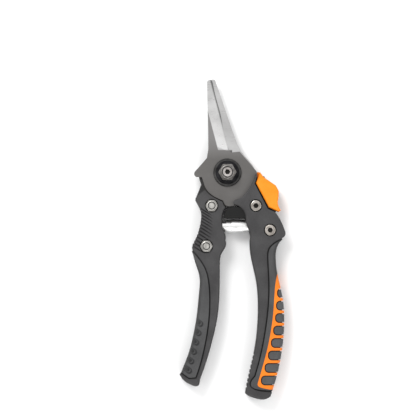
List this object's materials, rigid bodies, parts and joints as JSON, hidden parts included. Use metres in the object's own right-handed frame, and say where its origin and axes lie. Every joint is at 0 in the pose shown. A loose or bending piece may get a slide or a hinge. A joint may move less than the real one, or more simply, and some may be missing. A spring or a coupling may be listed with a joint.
{
  "type": "pruning shears",
  "caption": "Straight-blade pruning shears, closed, with soft grips, an orange thumb lock and a return spring between the handles",
  "frame": {"origin": "on the pivot axis, in the flat back face of the pivot bolt head", "axes": "+Y towards the blade tips, +Z towards the pivot nut, +X towards the handle with the lock lever"},
  "size_m": [0.067, 0.2029, 0.0196],
  "materials": {
    "blade_steel": "coated plate, ground bright blades",
    "zinc_steel": "bright zinc",
    "black_steel": "blackened",
    "grey_washer": "dark grey coated",
    "black_washer": "black coated",
    "black_nylon": "nylon",
    "handle_nylon": "dark grey moulded nylon",
    "grip_rubber": "soft grey grip",
    "pad_rubber": "soft grey pads",
    "orange_rubber": "orange soft inlay",
    "orange_plastic": "orange moulded lever",
    "spring_steel": "bright steel strip",
    "black_rubber": "black stop"
  },
  "bodies": {
    "right_side": {"front_blade": "blade_steel", "pivot_bolt": "black_steel", "pivot_nut": "zinc_steel", "pivot_nut_ring": "black_nylon", "pivot_boss_washer": "grey_washer", "pivot_front_washer": "black_washer", "pivot_rear_washer": "grey_washer", "right_handle_core": "handle_nylon", "right_grip": "grip_rubber", "right_grip_inlay": "orange_rubber", "right_grip_pads": "pad_rubber", "right_tang_screws": "zinc_steel", "right_tang_nuts": "zinc_steel", "lock_pin": "zinc_steel", "return_spring": "spring_steel", "bumper": "black_rubber"},
    "left_side": {"rear_blade": "blade_steel", "left_handle_core": "handle_nylon", "left_grip": "grip_rubber", "left_tang_bolts": "zinc_steel", "left_tang_nuts": "zinc_steel", "left_nut_rings": "black_nylon"},
    "lever": {"lock_lever": "orange_plastic"}
  },
  "joints": [
    {"name": "pivot", "type": "hinge", "parent": "right_side", "child": "left_side", "pos_m": [0, 0, 0], "axis": [0, 0, -1], "range_deg": [0, 28], "deforming": ["return_spring"]},
    {"name": "lock_swing", "type": "hinge", "parent": "right_side", "child": "lever", "pos_m": [0.0214, -0.0044, 0], "axis": [0, 0, 1], "range_deg": [0, 18]}
  ]
}
